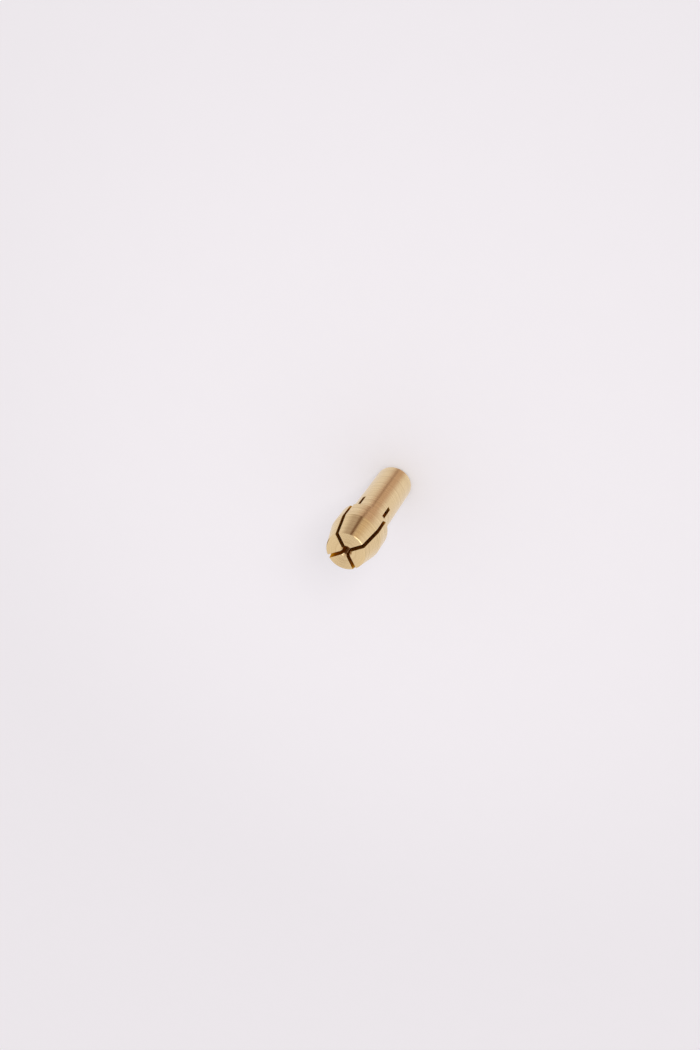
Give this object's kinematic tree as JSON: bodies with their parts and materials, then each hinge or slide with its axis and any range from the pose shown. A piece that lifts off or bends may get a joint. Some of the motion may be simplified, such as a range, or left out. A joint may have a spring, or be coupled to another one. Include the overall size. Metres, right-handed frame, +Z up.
{
  "type": "electrode collet",
  "caption": "Small brass spring collet with a plain shank, a conical nose slit into jaws, and a through bore that grips a thin electrode.",
  "frame": {"origin": "centre of the shank's flat end, on which the collet stands", "axes": "+Z up the collet's axis towards the nose; the two saw slots lie in the XZ and YZ planes"},
  "size_m": [0.0062, 0.0062, 0.019],
  "materials": {
    "turned_brass": "fine turned, bright"
  },
  "bodies": {
    "root": {"collet": "turned_brass"}
  },
  "joints": []
}
